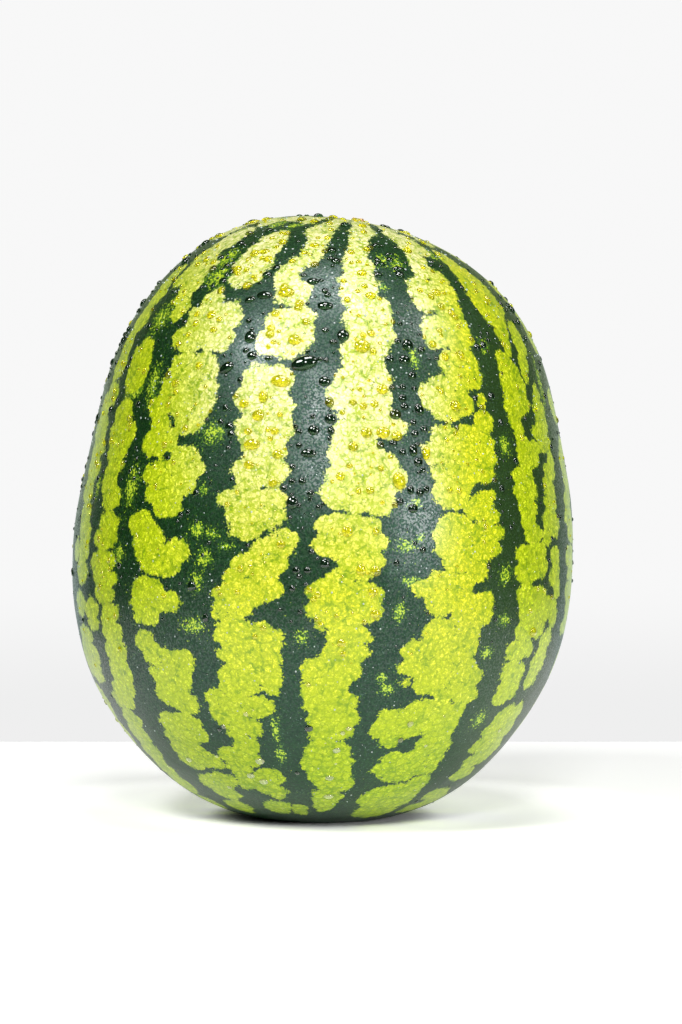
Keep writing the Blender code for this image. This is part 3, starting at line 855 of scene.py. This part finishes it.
def spots_on_skin(spots, lift):
    """A mesh of points on the skin, each with the turn and size of what stands there."""
    lean = Vector((CROWN.x, CROWN.y, 0)) / CROWN.z
    places, turns, sizes = [], [], []
    for sideways, upward, width, height, tilt in spots:
        climb = math.tan(math.radians(upward))
        heart = Vector((lean.x, lean.y, 1)) * HEART_HEIGHT
        way = direction(sideways, 0) + Vector((lean.x * climb, lean.y * climb, climb))
        spot, normal, _, _ = skin_search.ray_cast(heart, way)
        across = Vector((0, 0, 1)).cross(normal).normalized()
        across.rotate(Quaternion(normal, math.radians(tilt)))
        up = normal.cross(across)
        places.append(spot)
        turns.append(tuple(Matrix((across, up, normal)).transposed().to_euler()))
        sizes.append((width * MM / 2, height * MM / 2, lift * math.sqrt(width * height) * MM / 2))
    mesh = bpy.data.meshes.new("spots")
    mesh.from_pydata(places, [], [])
    keep_numbers(mesh, "turn", "FLOAT_VECTOR", turns)
    keep_numbers(mesh, "size", "FLOAT_VECTOR", sizes)
    keep_numbers(mesh, "patches", "FLOAT_VECTOR", patch_layers(np.array([tuple(p) for p in places])))
    return mesh


def water_piece(name, tree, numbers, start):
    """Grows beads of water on a mesh and hangs them on the fruit."""
    piece = grow(name, tree, numbers, start)
    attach(piece, "root")
    return piece


big_drops = water_piece(
    "big_drops",
    standing_tree("big_drops", lambda inputs: dome(inputs, 28, 14), 0.004, water),
    {"Wobble": 0.0004},
    spots_on_skin(BIG_DROPS, 0.55),
)
drops = water_piece(
    "drops",
    drop_tree("drops", 9, 5, [big_drops], water),
    DROP_NUMBERS,
    rind.data.copy(),
)
specks = water_piece(
    "specks",
    drop_tree("specks", 6, 4, [big_drops, drops], speck_glint),
    SPECK_NUMBERS,
    rind.data.copy(),
)

# ---- The stalk scar ---------------------------------------------------------------------------
# Where the stalk broke off, at the crown, a low corky stump of dry tan fibres is left. It is part
# of the fruit and stands in the shallow dimple where the stripes meet.

SCAR_CORK = (0.50, 0.33, 0.13, 1)
SCAR_FIBRE = (0.88, 0.52, 0.22, 1)
SCAR_DARK = (0.12, 0.08, 0.03, 1)
scar_material = bpy.data.materials.new("stalk_scar")
scar_material.use_nodes = True
scar_shader = scar_material.node_tree.nodes["Principled BSDF"]
scar_shader.inputs["Roughness"].default_value = 0.8
start = Wire(scar_material.node_tree)
place = start.add("ShaderNodeTexCoord", output="Object").vector("SCALE", scale=1 / MM)
cork = start.colour(SCAR_CORK).mix(SCAR_FIBRE, place.noise(0.7, 3).rise(0.40, 0.60))
cork = cork.mix(SCAR_DARK, place.noise(1.6, 2).rise(0.56, 0.66))
scar_material.node_tree.links.new(cork.socket, scar_shader.inputs["Base Color"])


def stump(inputs):
    """A low cone one unit in half width, its top sunk in the middle."""
    counts = {"Vertices": 40, "Side Segments": 6, "Fill Segments": 5}
    sizes = {"Radius Top": 0.55, "Radius Bottom": 1.0, "Depth": 1.0}
    cone = inputs.add("GeometryNodeMeshCone", inputs=counts | sizes)
    x = inputs.add("GeometryNodeInputPosition").split()
    out = (x * x + x.part("Y") * x.part("Y")).math("SQRT")
    lift = x.part("Z") * (0.75 + out.rise(0.0, 0.5) * 0.25) - 0.45
    shaped = x.join(x, x.part("Y"), lift)
    return cone.add("GeometryNodeSetPosition", inputs={"Geometry": cone, "Position": shaped})


stalk_scar = grow(
    "stalk_scar",
    standing_tree("stalk_scar", stump, 0.0016, scar_material),
    {"Wobble": 0.0012},
    spots_on_skin([(0, 89.9, 9.4, 8.4, 0)], 0.75),
)
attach(stalk_scar, "root")

# ---- The floor, the lights and the camera -----------------------------------------------------
# A plain pale floor, a studio that is pale behind and dim in front, and five soft lights: left,
# front, right, far right and top. The camera stands a metre off, a little above the heart.

floor_mesh = bpy.data.meshes.new("floor")
floor_corners = [(-0.4, -0.45, 0), (0.4, -0.45, 0), (0.4, 0.32, 0), (-0.4, 0.32, 0)]
floor_mesh.from_pydata(floor_corners, [], [(0, 1, 2, 3)])
floor = bpy.data.objects.new("floor", floor_mesh)
bpy.context.collection.objects.link(floor)
floor_material = bpy.data.materials.new("floor")
floor_material.use_nodes = True
floor_shader = floor_material.node_tree.nodes["Principled BSDF"]
floor_shader.inputs["Base Color"].default_value = (0.95, 0.95, 0.95, 1)
floor_shader.inputs["Roughness"].default_value = 0.9
floor_shader.inputs["Specular IOR Level"].default_value = 0.0
floor_shader.inputs["Emission Strength"].default_value = 0.2
start = Wire(floor_material.node_tree)
spot = start.add("ShaderNodeTexCoord", output="Object")
out = spot.vector("LENGTH", output="Value")
y = spot.split().part("Y")
# The floor glows a little, so that it stays white round the fruit and dark only where they touch.
near = 1 - out.rise(0.045, 0.105)
ring = 1 - out.rise(0.125, 0.165)
lit = out.rise(0.034, 0.054) * (0.8 + near * 1.3) + y.rise(-0.06, 0.06) * (ring * 1.3 - near * 1.2 + 0.3)
lit = lit * out.rise(0.03, 0.05) + y.rise(0.08, 0.26) * 0.25
glow = start.join(lit, lit, lit)
floor_material.node_tree.links.new(glow.socket, floor_shader.inputs["Emission Color"])
floor_mesh.materials.append(floor_material)

world = bpy.data.worlds.new("studio")
world.use_nodes = True
world.node_tree.nodes.clear()
start = Wire(world.node_tree)
way = start.add("ShaderNodeTexCoord", output="Generated").split()
glow = 0.015 + way.part("Y").rise(0.52, 0.97) * (1 - way.part("Z").rise(0.08, 0.30) * 0.5) * 0.8
warm = glow * (1 - way.part("Z").rise(-0.1, 0.3) * 0.4)
glow = start.join(glow * 0.84, glow, warm)
backdrop = 0.862 + way.part("Z").rise(-0.08, -0.025) * 0.075
backdrop = start.join(backdrop, backdrop, backdrop)
seen = start.add("ShaderNodeLightPath", output="Is Camera Ray")
background = start.add("ShaderNodeBackground", inputs={"Color": glow.mix(backdrop, seen)})
end = world.node_tree.nodes.new("ShaderNodeOutputWorld")
world.node_tree.links.new(background.socket, end.inputs["Surface"])
bpy.context.scene.world = world


def softbox(name, sideways, upward, side, light_on_heart):
    """A square soft light 1.4 m from the heart, turned to face it."""
    distance = 1.4
    light = bpy.data.lights.new(name, "AREA")
    light.size = side
    light.energy = light_on_heart * math.pi * distance**2
    lamp = bpy.data.objects.new(name, light)
    way = direction(sideways, upward)
    lamp.location = Vector((0, 0, HEART_HEIGHT)) + way * distance
    lamp.rotation_euler = way.to_track_quat("Z", "Y").to_euler()
    bpy.context.collection.objects.link(lamp)


softbox("left_softbox", -38, 44, 0.30, 1.84)
softbox("front_softbox", 0, 28, 0.26, 1.12)
softbox("right_softbox", 42, 10, 0.30, 1.28)
softbox("far_right_softbox", 66, 48, 0.40, 0.60)
softbox("top_softbox", 12, 74, 0.50, 1.50)

camera = bpy.data.cameras.new("camera")
camera.lens = 83.64
camera.sensor_width = 36
camera.shift_x = 0.019
camera.shift_y = 0.0044
view = bpy.data.objects.new("camera", camera)
view.location = (0, -1.0, 0.125)
view.rotation_euler = (math.radians(90), 0, 0)
bpy.context.collection.objects.link(view)
bpy.context.scene.camera = view
bpy.context.scene.view_settings.view_transform = "Standard"
